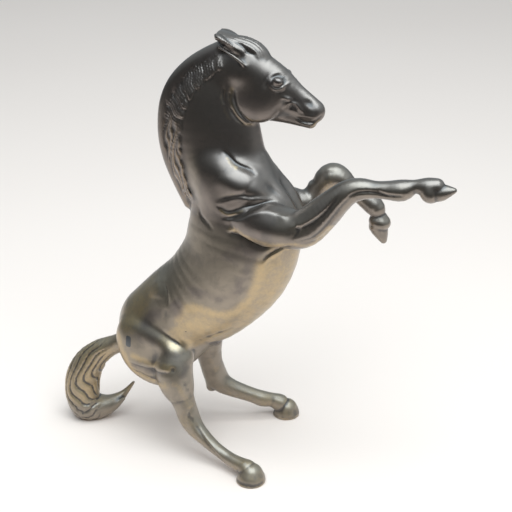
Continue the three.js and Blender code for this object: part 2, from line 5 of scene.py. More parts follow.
import bpy
import numpy as np
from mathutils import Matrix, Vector


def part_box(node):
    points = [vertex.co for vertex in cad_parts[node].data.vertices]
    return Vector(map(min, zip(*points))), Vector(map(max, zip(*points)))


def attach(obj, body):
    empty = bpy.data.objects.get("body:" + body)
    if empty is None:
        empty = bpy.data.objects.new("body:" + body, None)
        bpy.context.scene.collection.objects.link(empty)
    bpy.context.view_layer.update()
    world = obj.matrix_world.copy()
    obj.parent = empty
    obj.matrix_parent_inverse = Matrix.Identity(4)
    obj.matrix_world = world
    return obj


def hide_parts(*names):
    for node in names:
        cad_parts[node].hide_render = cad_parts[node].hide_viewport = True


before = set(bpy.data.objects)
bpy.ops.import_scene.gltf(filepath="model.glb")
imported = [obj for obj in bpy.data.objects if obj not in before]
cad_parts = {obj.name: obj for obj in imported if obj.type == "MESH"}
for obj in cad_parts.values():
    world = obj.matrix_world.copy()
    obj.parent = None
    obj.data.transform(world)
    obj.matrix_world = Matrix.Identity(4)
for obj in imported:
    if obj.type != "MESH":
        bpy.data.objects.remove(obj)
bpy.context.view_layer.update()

# Driving dimensions, in millimetres. The main stations below are those of the CAD part, with finer forms
# added: the horse faces +X, its right flank faces -Y, and it stands 148 mm tall to the tips of its ears.
STEP = 0.36                  # spacing of the grid that the fine surface is found on
BLOCK = 8                    # grid steps along the side of one block of the grid
ROOM_LOW = np.array([-76.0, -30.0, -2.0])
ROOM_HIGH = np.array([69.0, 30.0, 153.0])
TRIANGLES = 190000           # kept in the finished mesh
FAR = 50.0                   # a distance well clear of the surface
REACH = 1.5                  # how far past its blend a shape still counts, more than any mark's height
FADE_OUT = 2.5               # the widths or radii from a mark at which nothing is left of it
MM = 0.001                   # metres in a millimetre

BLOCK_RADIUS = STEP * BLOCK * math.sqrt(3) / 2


# Shapes: a box, and a distance that is negative inside. Distances are asked for points in blocks:
# points has the shape (blocks, points, 3) and centres (blocks, 3).

def curve(rows, steps):
    """Points along a smooth curve through the rows, Catmull-Rom in every column."""
    rows = np.array(rows, float)
    ends = np.vstack([2 * rows[0] - rows[1], rows, 2 * rows[-1] - rows[-2]])
    t = np.linspace(0, 1, steps, endpoint=False)[:, None]
    pieces = []
    for before, start, stop, after in zip(ends, ends[1:], ends[2:], ends[3:]):
        leave, arrive = (stop - before) / 2, (after - start) / 2
        pieces.append((2 * t**3 - 3 * t**2 + 1) * start + (t**3 - 2 * t**2 + t) * leave
                      + (3 * t**2 - 2 * t**3) * stop + (t**3 - t**2) * arrive)
    return np.vstack(pieces + [rows[-1:]])


def limb(rows, steps=4):
    """A limb runs through stations (x, y, z, radius, width across Y as a share of the radius)."""
    line = curve([tuple(row) + (1.0,) * (5 - len(row)) for row in rows], steps).astype(np.float32)
    low = (line[:, :3] - line[:, 3:4]).min(0)
    high = (line[:, :3] + line[:, 3:4]).max(0)

    def distance(points, centres, margin):
        nearest = np.full(points.shape[:2], FAR, np.float32)
        for a, b in zip(line[:-1], line[1:]):
            along = b[:3] - a[:3]
            square = float(along @ along) + 1e-9
            t = np.clip((centres - a[:3]) @ along / square, 0, 1)[:, None]
            gap = np.linalg.norm(centres - a[:3] - t * along, axis=1)
            near = np.nonzero(gap < max(a[3], b[3]) + margin + BLOCK_RADIUS)[0]
            if len(near) == 0:
                continue
            q = points[near] - a[:3]
            t = np.clip(q @ along / square, 0, 1)
            q -= t[..., None] * along
            radius = a[3] + t * (b[3] - a[3])
            flat = a[4] + t * (b[4] - a[4])
            qy = q[..., 1] / flat
            round_part = q[..., 0]**2 + q[..., 2]**2
            length = np.sqrt(round_part + qy**2)
            slope = np.sqrt(round_part + (qy / flat)**2) + 1e-6
            nearest[near] = np.minimum(nearest[near], (length - radius) * length / slope)
        return nearest

    return low, high, distance


def turn(pitch, yaw):
    """Rows are the long, cross and upright axes, the long one pitched up from +X and then yawed."""
    p, w = math.radians(pitch), math.radians(yaw)
    cp, sp, cw, sw = math.cos(p), math.sin(p), math.cos(w), math.sin(w)
    return np.array([[cp * cw, cp * sw, sp], [-sw, cw, 0], [-sp * cw, -sp * sw, cp]], np.float32)


def muscle(centre, radii, pitch=0, yaw=0):
    """An ellipsoid."""
    centre = np.array(centre, np.float32)
    radii = np.array(radii, np.float32)
    axes = turn(pitch, yaw)
    reach = np.sqrt(((axes * radii[:, None])**2).sum(0))

    def distance(points, centres, margin):
        q = (points - centre) @ axes.T / radii
        length = np.linalg.norm(q, axis=2)
        slope = np.linalg.norm(q / radii, axis=2) + 1e-6
        return length * (length - 1) / slope

    return centre - reach, centre + reach, distance


def paired(shape):
    """The same shape on both sides of the middle plane."""
    low, high, distance = shape
    far = max(abs(low[1]), abs(high[1]))
    fold = np.array([1, 0, 1], np.float32)

    def both(points, centres, margin):
        folded = points * fold
        folded[..., 1] = np.abs(points[..., 1])
        middles = centres * fold
        middles[:, 1] = np.abs(centres[:, 1])
        return distance(folded, middles, margin)

    return np.array([low[0], -far, low[2]]), np.array([high[0], far, high[2]]), both


def trimmed(shape, point, normal):
    """A shape cut off by a plane, keeping the side that the normal points away from."""
    low, high, distance = shape
    normal = np.array(normal, np.float32) / np.linalg.norm(normal)
    offset = float(normal @ np.array(point, np.float32))
    return low, high, lambda points, centres, margin: np.maximum(
        distance(points, centres, margin), points @ normal - offset)


SHAPES = []                  # (low, high, distance, blend), in the order in which they are joined
MARKS = []                   # (low, high, lift): how far the surface is raised at a point


def add(shape, blend=3.0):
    """Joins a shape to those before it, with the seam filled over a width of blend."""
    SHAPES.append(shape + (blend,))


def smooth(value, start, stop):
    """From 0 at start to 1 at stop, with soft ends."""
    t = np.clip((value - start) / (stop - start), 0, 1)
    return t * t * (3 - 2 * t)


def follow(line, x, z):
    """Where points lie by a line in side view: their distance from it, the way along it, counted in its
    pieces, and how far to its left they are."""
    nearest = np.full(x.shape, FAR, x.dtype)
    place = np.zeros(x.shape, x.dtype)
    left = np.zeros(x.shape, x.dtype)
    for i, (a, b) in enumerate(zip(line[:-1], line[1:])):
        ux, uz = b - a
        qx, qz = x - a[0], z - a[1]
        t = np.clip((qx * ux + qz * uz) / (ux * ux + uz * uz + 1e-9), 0, 1)
        gap = np.hypot(qx - t * ux, qz - t * uz)
        closer = gap < nearest
        nearest = np.where(closer, gap, nearest)
        place = np.where(closer, i + t, place)
        left = np.where(closer, (ux * qz - uz * qx) / math.hypot(ux, uz), left)
    return nearest, place, left


def side_box(line, grow):
    """The box round a line in side view, over the whole width of the room."""
    low = np.array([line[:, 0].min() - grow, ROOM_LOW[1], line[:, 1].min() - grow])
    high = np.array([line[:, 0].max() + grow, ROOM_HIGH[1], line[:, 1].max() + grow])
    return low, high


def carve(rows, width, depth, inner=0.0, side=0, edge=0.0):
    """A stroke drawn in side view at (x, z) points: a crease where depth is negative, else a ridge.
    It shows on flanks further than inner from the middle plane, on one side (-1 or 1) or both (0).
    With an edge it is a fold: one side of the line rises by depth and the other sinks, over that edge.
    Going along the points, the side that rises is the left one where depth is positive."""
    line = curve(rows, 4).astype(np.float32)
    last = len(line) - 1
    brink = 1.5              # half the way over which it appears past inner
    faint = 0.06             # where on a half wave its ends lie, so that they are faint but not gone

    def lift(points):
        out = np.abs(points[..., 1]) if side == 0 else points[..., 1] * side
        show = smooth(out, inner - brink, inner + brink)
        gap, place, left = follow(line, points[..., 0], points[..., 2])
        fade = np.sqrt(np.sin(np.pi * (faint + (1 - 2 * faint) * place / last)))
        profile = np.exp(-(gap / width)**2)
        if edge:
            profile = profile * np.tanh(left / edge)
        return depth * show * fade * profile

    MARKS.append(side_box(line, FADE_OUT * width) + (lift,))


def dimple(centre, radius, depth, both=True):
    """A soft pit where depth is negative, else a bump."""
    centre = np.array(centre, np.float32)
    reach = FADE_OUT * radius
    low, high = centre - reach, centre + reach
    if both:
        low[1], high[1] = -abs(centre[1]) - reach, abs(centre[1]) + reach

    def lift(points):
        y = np.abs(points[..., 1]) if both else points[..., 1]
        gap = ((points[..., 0] - centre[0])**2 + (y - centre[1])**2 + (points[..., 2] - centre[2])**2)
        return depth * np.exp(-gap / radius**2)

    MARKS.append((low, high, lift))


# The main forms, as in the CAD part.

def body():
    add(limb([
        (-6, 0, 88.6, 16, 0.7), (-5.2, 0, 82, 19, 0.7), (-8.4, 0, 70, 18.8, 0.74),
        (-17.1, 0, 58.2, 17.3, 0.77), (-27, 0, 49.8, 16.1, 0.78), (-34.8, 0, 41.3, 16.2, 0.8)]))
    add(limb([
        (-9, 0, 97, 15.4, 0.6), (-13.7, 0, 105, 16, 0.52), (-15.5, 0, 114, 15.7, 0.5),
        (-15.5, 0, 122, 14.1, 0.47), (-12, 0, 130, 11.3, 0.46), (-6, 0, 136, 8.5, 0.6)]), 5)
    add(limb([(-24, 0, 38.5, 5), (-19, 0, 39.2, 2.8), (-15.6, 0, 38.6, 1.8)]), 2)


def shoulders():
    add(paired(muscle((2.5, 5, 90.5), (9, 6.5, 8), 15)), 3)
    add(paired(limb([
        (-0.2, 1.5, 106.8, 2.3), (2.8, 2.4, 101.3, 2.5), (6.2, 2.8, 97.5, 2.6), (9.4, 3, 93.4, 2.8),
        (11.5, 3.2, 89, 3)])), 2)
    add(paired(muscle((-7, 7.2, 97.5), (14, 4.6, 9), -42)), 7)
    add(paired(muscle((-2.6, 6.2, 101.2), (8.2, 4.6, 4), -38)), 3)
    add(muscle((6.2, -11.6, 90.2), (11.6, 5.2, 6.3), 6), 1.5)
    add(muscle((4.2, 10.6, 88.8), (10.5, 5, 5.3), 5), 1.5)
    neck_base = [(-9.4, 111.4), (-7.6, 109.6), (-5.9, 108.1), (-3.5, 106.9), (-1, 105.8), (0.5, 104.8)]
    carve([(x - 2, z - 4.6) for x, z in neck_base[1:]], 3.6, 1.1, 5)
    carve(neck_base, 0.6, -0.6, 4)
    carve([(-0.5, 106.1), (1.9, 104.7), (4.6, 102.5), (8, 99.5), (10.6, 97.4), (12.7, 95.1)], 1.1, 0.4, 3)
    upper_fold = [(-9.5, 96.1), (-6.6, 97.5), (-2.6, 98.6), (0.1, 98.2), (2.4, 98.2), (5.1, 97.6)]
    carve(upper_fold, 1.4, -0.35, 7, edge=0.5)
    lower_fold = [(-9.6, 93.6), (-6.9, 92.6), (-4.1, 93.5), (-1.8, 94.6), (1.4, 95.4), (4.1, 96.1)]
    carve(lower_fold, 1.3, -0.4, 7, edge=0.5)
    elbow_top = [(-6.5, 90.8), (-2, 92.5), (0.8, 94.5), (3.9, 96), (7.1, 96.6), (11, 96.1), (13, 96.1)]
    carve(elbow_top, 1.8, -0.6, 8, edge=0.4)
    carve(elbow_top, 0.5, -0.6, 8)
    elbow_under = [
        (-5.2, 86.3), (-1.3, 85.7), (1.2, 84.3), (3.6, 82.8), (6.6, 82.9), (11, 84.4), (14.9, 86.5)]
    carve(elbow_under, 1.4, 0.5, 8, edge=0.4)
    carve(elbow_under, 0.5, -0.6, 8)
    carve([(5, 76.9), (6.4, 78.6), (8.5, 79.9), (11.5, 81.3)], 1.2, -0.28, 5, edge=0.4)
    carve([(-18, 91), (-17, 89.1), (-14.8, 87.7), (-12.7, 86.2)], 0.7, -0.25, 7)
    carve([(17.6, 94), (18.3, 92.3), (16.9, 90)], 0.8, -0.5, 14)


def head():
    add(limb([
        (-3, 0, 136.3, 7.4, 0.8), (3.1, 0, 131.5, 8.1, 0.68), (9.6, 0, 128.2, 6.1, 0.56),
        (14.4, 0, 126.2, 4.7, 0.64), (17.2, 0, 125.1, 3.8, 0.85)]), 3)
    add(paired(muscle((0, 3.5, 127.2), (7, 2.7, 6.8))), 3)
    add(limb([
        (2, 0, 124.6, 4, 0.9), (8.5, 0, 123, 2.7, 0.9), (13.8, 0, 121.9, 2.2, 1),
        (16.4, 0, 121.4, 2, 1.1)]), 1.5)
    add(paired(muscle((6.1, 3.9, 134), (3.1, 1.6, 1.7), -25)), 1)
    ear()
    face()


def ear():
    """Laid back, its opening cut flat and turned out and down over a thin rim. The crown fills the space
    between the two ears."""
    add(limb([(-13, 0, 147, 1.2, 2.6), (-9.5, 0, 145.2, 2, 2.1), (-5, 0, 142.7, 2.7, 1.6)]), 1.2)
    blade = limb([
        (-13.5, 3, 147.4, 0.6, 0.9), (-12, 3.9, 146.2, 1.4, 0.95), (-9.6, 4.7, 144, 2),
        (-7, 4.9, 141.8, 2.4), (-4.6, 4.7, 139.6, 2.3)])
    add(paired(trimmed(blade, (-9.6, 5.2, 146.2), (-0.27, 0.68, -0.68))), 0.3)
    add(paired(limb([
        (-12.6, 3, 144, 0.3), (-11, 3.9, 143.4, 0.4), (-9.2, 4.8, 142.8, 0.4), (-6.8, 5.6, 141.9, 0.45),
        (-4.7, 5.8, 140.6, 0.5), (-3.2, 5.4, 139.2, 0.5)])), 0.8)


def face():
    """Eye, nostril, mouth, cheek and the folds of the throat. Strokes are seen from the side."""
    add(paired(muscle((7.1, 4.6, 135), (1.7, 1.3, 1.4), -20)), 0.15)
    upper_lid = [(4.2, 135.4), (4.9, 136.7), (6.1, 137.4), (7.4, 137.5), (8.7, 136.8), (9.7, 135.6)]
    carve(upper_lid, 0.45, 0.2, 2)
    lower_lid = [(4.5, 134.3), (5.4, 133.2), (6.7, 132.5), (8.1, 132.8), (9.3, 133.9), (10.6, 134.5)]
    carve(lower_lid, 0.4, 0.3, 2)
    carve([(5.2, 136.1), (6.5, 136.6), (8, 136.4)], 0.35, -0.15, 2)
    carve([(5, 134.2), (6.2, 133.5), (7.4, 133.4), (8.6, 134.1)], 0.35, -0.25, 2)
    carve([(2.4, 133.4), (3.4, 135.3), (4.4, 137)], 0.4, -0.15, 3)
    carve([(3.1, 132.8), (3.9, 134.4)], 0.4, -0.15, 3)
    add(paired(muscle((8.6, 3.2, 130), (2.7, 1.3, 0.8), -18)), 1)
    nostril_rim = [(9.3, 126.4), (10, 127.7), (11.2, 128.2), (12.5, 127.8), (13.8, 126.4), (14.9, 125.4)]
    carve(nostril_rim, 0.5, 0.4, 1.5)
    carve([(10.3, 126.3), (11.4, 127), (12.6, 126.3)], 0.6, -0.45, 1.5)
    carve([(15.4, 128.6), (16.6, 128.2), (17.6, 127.2)], 0.8, -0.35, 1)
    carve([(13, 123), (14.3, 122.1), (16.2, 121.9), (18.2, 122.5), (20, 124.2)], 0.45, -0.6, 0)
    carve([(13.4, 123.9), (15.6, 124.2), (17.9, 124.3), (19.4, 124.3)], 0.6, 0.3, 0)
    jowl = [
        (-6.8, 130.6), (-6.8, 128.6), (-6.3, 126.4), (-5.4, 124.5), (-4.2, 122.9), (-2.6, 121.3),
        (-0.6, 120.6), (1.8, 121), (4.5, 122.2)]
    carve(jowl, 0.5, -0.35, 2.5)
    carve([(x - 0.9, z - 0.5) for x, z in jowl[:7]], 0.55, 0.3, 2.5)
    carve([(x - 1.9, z - 0.9) for x, z in jowl[:6]], 0.5, -0.3, 2.5)
    carve([(-9.2, 131.4), (-9.4, 129.3), (-8.9, 127.2), (-7.9, 125.2)], 0.7, 0.3, 2.5)
    carve([(-10.4, 131), (-10.6, 128.8), (-10, 126.8)], 0.5, -0.25, 2.5)
    dimple((-6.4, 5.8, 135.4), 2.2, 0.2)


def forelock():
    """A smooth tuft that runs forward from between the ears, combed into fine strands."""
    tuft = muscle((-3.3, 0, 143.3), (6.4, 3.7, 2.9), -21)
    add(tuft, 2)
    spacing, height, skin = 0.85, 0.17, 0.9
    root, spread = -8, 0.04
    low, high, distance = tuft

    def combed(points):
        x, y = points[..., 0], points[..., 1]
        near = distance(points, None, None)
        fan = y / (1 + spread * (x - root))
        groove = np.cos(2 * math.pi * fan / spacing + 0.5 * np.sin(0.9 * x))
        return height * groove * smooth(x, 3, -1) * np.exp(-(near / skin)**2)

    MARKS.append((low, high, combed))
    carve([(-7.2, 145.9), (-5.6, 145.2), (-4, 144.2), (-2.4, 143.1), (-0.9, 142.6)], 0.5, -0.45, 2)
    dimple((-3.2, 3.7, 143.2), 0.8, -0.4)


def mane():
    """A thick ridge over the back of the neck. Short strands sweep down and turn in from its upper half,
    and long wavy ones run down its lower half. In the formulas, along is the way down the neck and inward
    the way from the ridge's top, in mm."""
    crest = [
        (-11.5, 143), (-17.5, 139.8), (-23, 135.9), (-27.9, 130.6), (-31, 124.3), (-32.2, 117.3),
        (-32, 110), (-30.3, 103), (-27.3, 96), (-24, 89.5)]
    add(limb([(x, 0, z, 2.6) for x, z in crest]), 2)
    line = curve(crest, 6).astype(np.float32)
    steps = np.linalg.norm(np.diff(line, axis=0), axis=1)
    starts = np.concatenate([[0], np.cumsum(steps)])
    total = float(starts[-1])
    lock_length, strand = 5.4, 1.25
    long_lock_width, long_strand = 3.1, 1.2
    rise = 0.4
    narrow, swell = 3.4, 4.6
    sweep = 5
    middle = 0.7             # about the mean of the root of a lock's section

    def hair(points):
        _, place, inward = follow(line, points[..., 0], points[..., 2])
        along = np.interp(place, np.arange(len(starts)), starts).astype(np.float32)
        share = along / total
        width = narrow + swell * np.sin(np.pi * np.clip(0.1 + 0.85 * share, 0, 1))
        depth = np.clip(inward / width, 0.02, 1.3)
        flow = along - sweep * np.sqrt(depth) + 0.4 * np.sin(1.3 * inward + 0.35 * along)
        lock = np.abs(np.sin(np.pi * flow / lock_length))
        across = inward + 0.22 * along + 0.8 * np.sin(0.5 * along + 0.9 * inward)
        long_lock = np.abs(np.sin(np.pi * across / long_lock_width))
        upper = smooth(share, 0.62, 0.42)
        edge = smooth(depth, 1.02 + 0.06 * lock, 0.8 + 0.1 * lock)
        inside = edge * smooth(inward, -0.6, 1.2)
        ends = smooth(along, 0.5, 3) * smooth(along, total - 0.5, total - 4)
        short_hair = 0.13 * np.cos(2 * np.pi * flow / strand) + 0.28 * (np.sqrt(lock) - middle)
        long_hair = 0.17 * np.cos(2 * np.pi * across / long_strand) + 0.32 * (np.sqrt(long_lock) - middle)
        comb = upper * short_hair + (1 - upper) * long_hair
        return ends * (rise * edge * smooth(inward, -2, 1.5) + inside * comb)

    hair_length = 9
    MARKS.append(side_box(line, hair_length) + (hair,))


def forelegs():
    add(limb([
        (7, -10.5, 89, 6.5), (13.5, -12.5, 89.6, 6.2), (19.1, -13.5, 91.4, 6), (25.1, -14, 97.5, 5.3),
        (28.9, -14, 101.8, 4.5), (32.4, -14, 105.1, 3.9), (36.3, -14, 106.8, 3.4), (41, -14, 107.2, 2.7),
        (45, -14, 107.5, 2.9), (49.2, -14, 108, 3.3), (53, -14, 109.7, 2.1), (57, -14, 110, 2.9),
        (59.6, -14, 110.6, 2.5)]), 2)
    add(muscle((57.9, -14, 108.4), (3.2, 3.5, 3.3), 30), 1)
    right_hoof = limb([(58.4, -14, 108.4, 2.9), (61.5, -14, 108.9, 2.5), (64.8, -14, 109.8, 1)])
    add(trimmed(right_hoof, (61.1, -14, 105.7), (0.64, 0, -0.77)), 0.15)
    add(limb([
        (5.5, 10, 86, 5.5), (10.8, 12.5, 86.8, 4.5), (15.7, 14.5, 92, 4.3), (19.3, 15, 97.2, 4.8),
        (22.3, 15, 97.6, 4.1), (27, 15, 94.4, 2.8), (34, 15, 89.6, 3.3), (35.9, 15, 86.6, 2.2),
        (36.4, 15, 84.6, 3)]), 2)
    add(muscle((36.4, 15, 84), (3.7, 3.5, 2.9), -12), 0.5)
    left_hoof = limb([(36, 15, 82.4, 3.2), (37, 15, 80, 2.3), (37.9, 15, 77.6, 1.2)])
    add(trimmed(left_hoof, (33.4, 15, 80.4), (-0.76, 0, -0.65)), 0.15)
    carve([(16.3, 92.8), (19.6, 94.4), (23.5, 97.3), (26.8, 100.6), (29.4, 104.4)], 1.3, 0.5, 13, -1, 0.5)
    forearm_back = [(18.6, 89.5), (22.5, 91.2), (25.8, 94.6), (28.5, 98.5), (31.1, 102.3), (33.8, 105.6)]
    carve(forearm_back, 1.3, 0.5, 13, -1, 0.5)
    carve([(33.8, 105.6), (37, 107.1), (41.3, 107.4), (44.6, 106.7)], 0.5, -0.4, 14, -1)
    carve([(42.4, 107.8), (45.6, 107), (49.9, 107.5)], 0.5, -0.4, 14, -1)
    carve([(20, 88.6), (24.3, 90.4), (27.4, 93.8), (30.4, 98)], 0.9, 0.35, 11, -1, 0.5)


def hindlegs():
    add(paired(muscle((-37.1, 7.8, 36.2), (13.5, 7, 10.6), -42)), 3.5)
    add(paired(muscle((-31.5, 10.4, 40.6), (11.5, 4, 4.8), -26)), 3)
    add(paired(muscle((-36.2, 9.6, 30.9), (10.4, 4.8, 6.3), -26)), 3)
    add(paired(limb([
        (-39, 9.8, 44, 2), (-35.5, 10, 43, 3), (-31.5, 10.2, 41.2, 3.6), (-27.8, 10.5, 38.8, 3.6),
        (-24, 11, 36, 3.1)])), 3)
    add(limb([
        (-27.3, -10, 37, 6), (-26.9, -12.4, 32, 6.6, 0.9), (-25.4, -13.8, 27.4, 6, 0.85),
        (-23.8, -14, 23.2, 4.4, 0.9), (-22.2, -14.3, 19.3, 3.8), (-20.9, -14.5, 15.6, 3.7),
        (-18.6, -15.2, 12.3, 3.2), (-15.2, -16.2, 9.7, 2.6), (-10.8, -17.4, 7.1, 2.2),
        (-5.9, -18.7, 5.1, 2.2), (-2.6, -20, 4.5, 2.4), (1, -21.2, 4.2, 2.7), (2.4, -21.7, 3.8, 3.2)]), 2)
    add(limb([
        (-25.5, 10, 37, 6), (-24, 11.6, 32, 5.8), (-23.4, 12.6, 27.3, 4.7), (-22.6, 13.3, 21.6, 4.2),
        (-21.4, 14, 16.8, 4.2), (-19.2, 14.3, 13.6, 3.7), (-16.1, 15, 11.7, 3.2), (-12.7, 16, 10.2, 2.9),
        (-8.5, 17.3, 8.5, 2.7), (-5, 18.5, 7, 2.9), (-2.2, 20, 6.2, 2.6), (0, 21, 5.2, 3),
        (0.8, 21.3, 4.7, 3.2)]), 2)
    add(limb([(-22.2, 14, 14.8, 3), (-22.9, 14, 11.6, 2)]), 1.5)
    add(limb([(4.2, -22.4, 2.3, 4), (4.1, -22.6, 0, 5.1)]), 0.25)
    add(limb([(3.2, 21.9, 2.3, 3.9), (3, 22, 0, 4.9)]), 0.25)
    hip = [(-30.3, 62.3), (-29.2, 60.6), (-28.6, 58.2), (-28.8, 55.8)]
    carve(hip, 0.45, -0.22, 8)
    carve([(-34.4, 63), (-33.4, 60), (-32.8, 57)], 3.4, 0.55, 6)
    carve([(-28.8, 56), (-30.4, 52.4), (-31.4, 49.5)], 2.5, -0.25, 8, edge=1.5)
    carve([(-29, 46), (-25.5, 43.2), (-22.6, 40.8), (-20.6, 38.8)], 1.8, 0.5, 7, edge=0.8)
    carve([(-17.8, 43.6), (-12.9, 46.4), (-7.7, 49)], 0.6, -0.25, 5)
    strip_low = [(-41, 33.2), (-37.9, 33), (-34.2, 32.6), (-29.6, 33.6), (-26.6, 34.2)]
    carve(strip_low, 1.7, 0.38, 8, edge=0.5)
    dimple((-25.4, 17.4, 34.8), 0.8, -0.4)
    carve([(-41.8, 29.8), (-37.7, 29.2), (-33.8, 28), (-28.5, 29)], 1.2, -0.3, 6, edge=0.5)
    carve([(-21.6, 31), (-20.6, 27), (-19.5, 22.8)], 1, -0.5, 14)
    carve([(-18.1, 15.9), (-15.9, 13.2), (-13, 9.9), (-10.2, 7.6), (-6.7, 4.9)], 0.7, 0.3, 14, -1, 0.4)
    carve([(-19, 21.4), (-19.8, 18.4), (-18.3, 15.9)], 0.7, -0.3, 15, -1)


def tail():
    """A thick switch of hair that sweeps back, down and forward again, its locks wound part way round."""
    line = curve([
        (-47, 0, 34, 4.5), (-52.8, 0, 31.3, 3.4), (-56.6, 0, 29.2, 3.7), (-60.8, 0, 26, 4.5),
        (-64.4, -0.3, 21.4, 5.5), (-66.8, -0.8, 15.6, 6.1), (-67, -1.4, 9.4, 6.1), (-65.4, -1.8, 5.2, 5.6),
        (-61.6, -0.4, 4.2, 4.6), (-58.2, 1, 4.9, 3.4), (-55.2, 3, 6.6, 2.2), (-52.8, 4.5, 9, 1.2),
        (-50, 5.8, 12.8, 0.5)], 3).astype(np.float32)
    shape = limb([tuple(row) for row in line], 1)
    add(shape, 2)
    second_lock = limb([(-58, 0.2, 4, 2.4), (-55, 1.2, 5.6, 1.5), (-52.2, 1.8, 7.8, 0.5)])
    add(second_lock, 0.8)
    add(muscle((-64, -1.4, 2.8), (5, 3.6, 3.4)), 1)
    lock_count = 11
    windings = 0.9
    lock_height, groove_depth, strand_height = 0.12, 0.7, 0.06
    axis = line[:, :3]
    last = len(axis) - 1

    def locks(points):
        nearest = np.full(points.shape[:2], FAR, np.float32)
        share = np.zeros(points.shape[:2], np.float32)
        angle = np.zeros(points.shape[:2], np.float32)
        for i, (a, b) in enumerate(zip(axis[:-1], axis[1:])):
            along = b - a
            length = float(np.linalg.norm(along))
            along = along / length
            upright = np.array([-along[2], 0, along[0]]) / math.hypot(along[0], along[2])
            q = points - a
            t = np.clip(q @ along, 0, length)
            q = q - t[..., None] * along
            gap = np.linalg.norm(q, axis=2)
            closer = gap < nearest
            nearest = np.where(closer, gap, nearest)
            share = np.where(closer, (i + t / length) / last, share)
            angle = np.where(closer, np.arctan2(q[..., 1], q @ upright), angle)
        sway = 0.03 * np.sin(11 * share + 2 * angle) + 0.015 * np.sin(31 * share + 3 * angle)
        flow = lock_count * (angle / (2 * math.pi) + sway - windings * share**1.5)
        groove = (1 - np.abs(np.sin(np.pi * flow)))**2
        fine = np.cos(6 * math.pi * flow)
        show = smooth(share, 0.06, 0.3) * smooth(share, 0.76, 0.56)
        return show * (lock_height - groove_depth * groove + strand_height * fine)

    low, high, _ = shape
    MARKS.append((low - 1, high + 1, locks))


# From the field to a mesh

def blended(a, b, blend):
    near = np.maximum(blend - np.abs(a - b), 0) / blend
    return np.minimum(a, b) - near**3 * (blend / 6)


def overlapping(centres, half, low, high):
    """Which blocks meet a box."""
    return np.nonzero(np.all((centres + half > low) & (centres - half < high), axis=1))[0]


def evaluate(centres, offsets, with_marks):
    """The field at every offset of every block."""
    half = np.abs(offsets).max(0)
    values = np.full((len(centres), len(offsets)), FAR, np.float32)
    for low, high, distance, blend in SHAPES:
        margin = blend + REACH if with_marks else FAR
        chosen = overlapping(centres, half, low - margin, high + margin)
        if len(chosen) == 0:
            continue
        middles = centres[chosen]
        found = distance(middles[:, None] + offsets[None], middles, margin)
        values[chosen] = blended(values[chosen], found, blend)
    if with_marks:
        for low, high, lift in MARKS:
            chosen = overlapping(centres, half, low, high)
            if len(chosen):
                values[chosen] -= lift(centres[chosen][:, None] + offsets[None])
    heights = centres[:, None, 2] + offsets[None, :, 2]
    return np.maximum(values, -heights)


def sample_field():
    """Values on the whole grid, exact only in the blocks near the surface."""
    side = STEP * BLOCK
    counts = np.ceil((ROOM_HIGH - ROOM_LOW) / side).astype(int)
    ticks = [ROOM_LOW[axis] + side * (np.arange(counts[axis]) + 0.5) for axis in range(3)]
    centres = np.stack(np.meshgrid(*ticks, indexing="ij"), -1).reshape(-1, 3).astype(np.float32)
    rough = evaluate(centres, np.zeros((1, 3), np.float32), False)[:, 0]
    allowance = 1.4          # for distances that are stretched by blends and flattened limbs
    close = np.nonzero(np.abs(rough) < allowance * BLOCK_RADIUS + REACH)[0]
    steps = (STEP * (np.arange(BLOCK) - (BLOCK - 1) / 2)).astype(np.float32)
    offsets = np.stack(np.meshgrid(steps, steps, steps, indexing="ij"), -1).reshape(-1, 3)
    blocks = np.broadcast_to(np.sign(rough)[:, None], (len(rough), BLOCK**3)).astype(np.float32) * FAR
    blocks[close] = evaluate(centres[close], offsets, True)
    grid = blocks.reshape(*counts, BLOCK, BLOCK, BLOCK).transpose(0, 3, 1, 4, 2, 5)
    return grid.reshape(counts * BLOCK), ROOM_LOW + STEP / 2


def corner_slices(grid):
    """Eight views of the grid, one for each corner of every cell."""
    for i in (0, 1):
        for j in (0, 1):
            for k in (0, 1):
                shifts = [slice(n, size - 1 + n) for n, size in zip((i, j, k), grid.shape)]
                yield (i, j, k), grid[tuple(shifts)]


def find_surface(grid):
    """One point in each cell that the surface crosses, and a square across each edge that it crosses."""
    inside = grid < 0
    count = sum(view.astype(np.uint8) for _, view in corner_slices(inside))
    cells = np.argwhere((count > 0) & (count < 8))
    total = np.zeros((len(cells), 3))
    crossings = np.zeros(len(cells))
    for axis in range(3):
        others = [n for n in range(3) if n != axis]
        for first in (0, 1):
            for second in (0, 1):
                start = cells.copy()
                start[:, others[0]] += first
                start[:, others[1]] += second
                stop = start.copy()
                stop[:, axis] += 1
                a, b = grid[tuple(start.T)], grid[tuple(stop.T)]
                crossed = (a < 0) != (b < 0)
                t = np.where(crossed, a / np.where(crossed, a - b, 1), 0)
                point = start.astype(float)
                point[:, axis] += t
                total += point * crossed[:, None]
                crossings += crossed
    points = total / crossings[:, None]
    number = np.full(np.array(grid.shape) - 1, -1, np.int32)
    number[tuple(cells.T)] = np.arange(len(cells))
    squares = []
    for axis in range(3):
        others = [(axis + 1) % 3, (axis + 2) % 3]
        low = inside[tuple(slice(0, -1) if n == axis else slice(None) for n in range(3))]
        high = inside[tuple(slice(1, None) if n == axis else slice(None) for n in range(3))]
        edges = np.argwhere(low != high)
        ring = []
        for first, second in ((0, 0), (-1, 0), (-1, -1), (0, -1)):
            cell = edges.copy()
            cell[:, others[0]] += first
            cell[:, others[1]] += second
            ring.append(number[tuple(cell.T)])
        ring = np.stack(ring, 1)
        leaving = low[tuple(edges.T)]
        squares.append(np.where(leaving[:, None], ring, ring[:, ::-1]))
    return points, np.vstack(squares)


